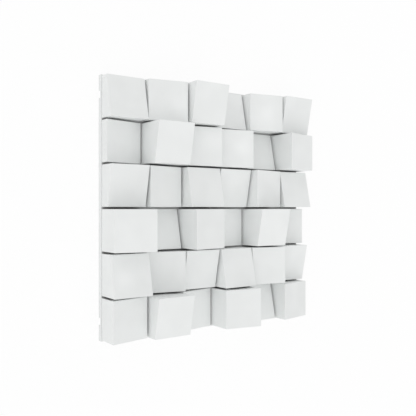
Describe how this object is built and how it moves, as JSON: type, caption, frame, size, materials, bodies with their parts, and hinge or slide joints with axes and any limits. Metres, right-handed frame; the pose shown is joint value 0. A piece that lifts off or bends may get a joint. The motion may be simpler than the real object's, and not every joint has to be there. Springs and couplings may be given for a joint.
{
  "type": "acoustic scattering panel",
  "caption": "Square white wooden panel of mitred blocks at stepped heights on a thin board, which scatters sound.",
  "frame": {"origin": "centre of the board's back face, which lies on the floor", "axes": "+X to the panel's right and +Y to its top as it hangs on a wall, +Z out of the board's front"},
  "size_m": [0.6, 0.6, 0.0969],
  "materials": {
    "board_lacquer": "matte",
    "block_lacquer": "matte"
  },
  "bodies": {
    "root": {"back_board": "board_lacquer", "block_row1_col1": "block_lacquer", "block_row1_col2": "block_lacquer", "block_row1_col3": "block_lacquer", "block_row1_col4": "block_lacquer", "block_row1_col5": "block_lacquer", "block_row1_col6": "block_lacquer", "block_row2_col1": "block_lacquer", "block_row2_col2": "block_lacquer", "block_row2_col3": "block_lacquer", "block_row2_col4": "block_lacquer", "block_row2_col5": "block_lacquer", "block_row2_col6": "block_lacquer", "block_row3_col1": "block_lacquer", "block_row3_col2": "block_lacquer", "block_row3_col3": "block_lacquer", "block_row3_col4": "block_lacquer", "block_row3_col5": "block_lacquer", "block_row3_col6": "block_lacquer", "block_row4_col1": "block_lacquer", "block_row4_col2": "block_lacquer", "block_row4_col3": "block_lacquer", "block_row4_col4": "block_lacquer", "block_row4_col5": "block_lacquer", "block_row4_col6": "block_lacquer", "block_row5_col1": "block_lacquer", "block_row5_col2": "block_lacquer", "block_row5_col3": "block_lacquer", "block_row5_col4": "block_lacquer", "block_row5_col5": "block_lacquer", "block_row5_col6": "block_lacquer", "block_row6_col1": "block_lacquer", "block_row6_col2": "block_lacquer", "block_row6_col3": "block_lacquer", "block_row6_col4": "block_lacquer", "block_row6_col5": "block_lacquer", "block_row6_col6": "block_lacquer"}
  },
  "joints": []
}
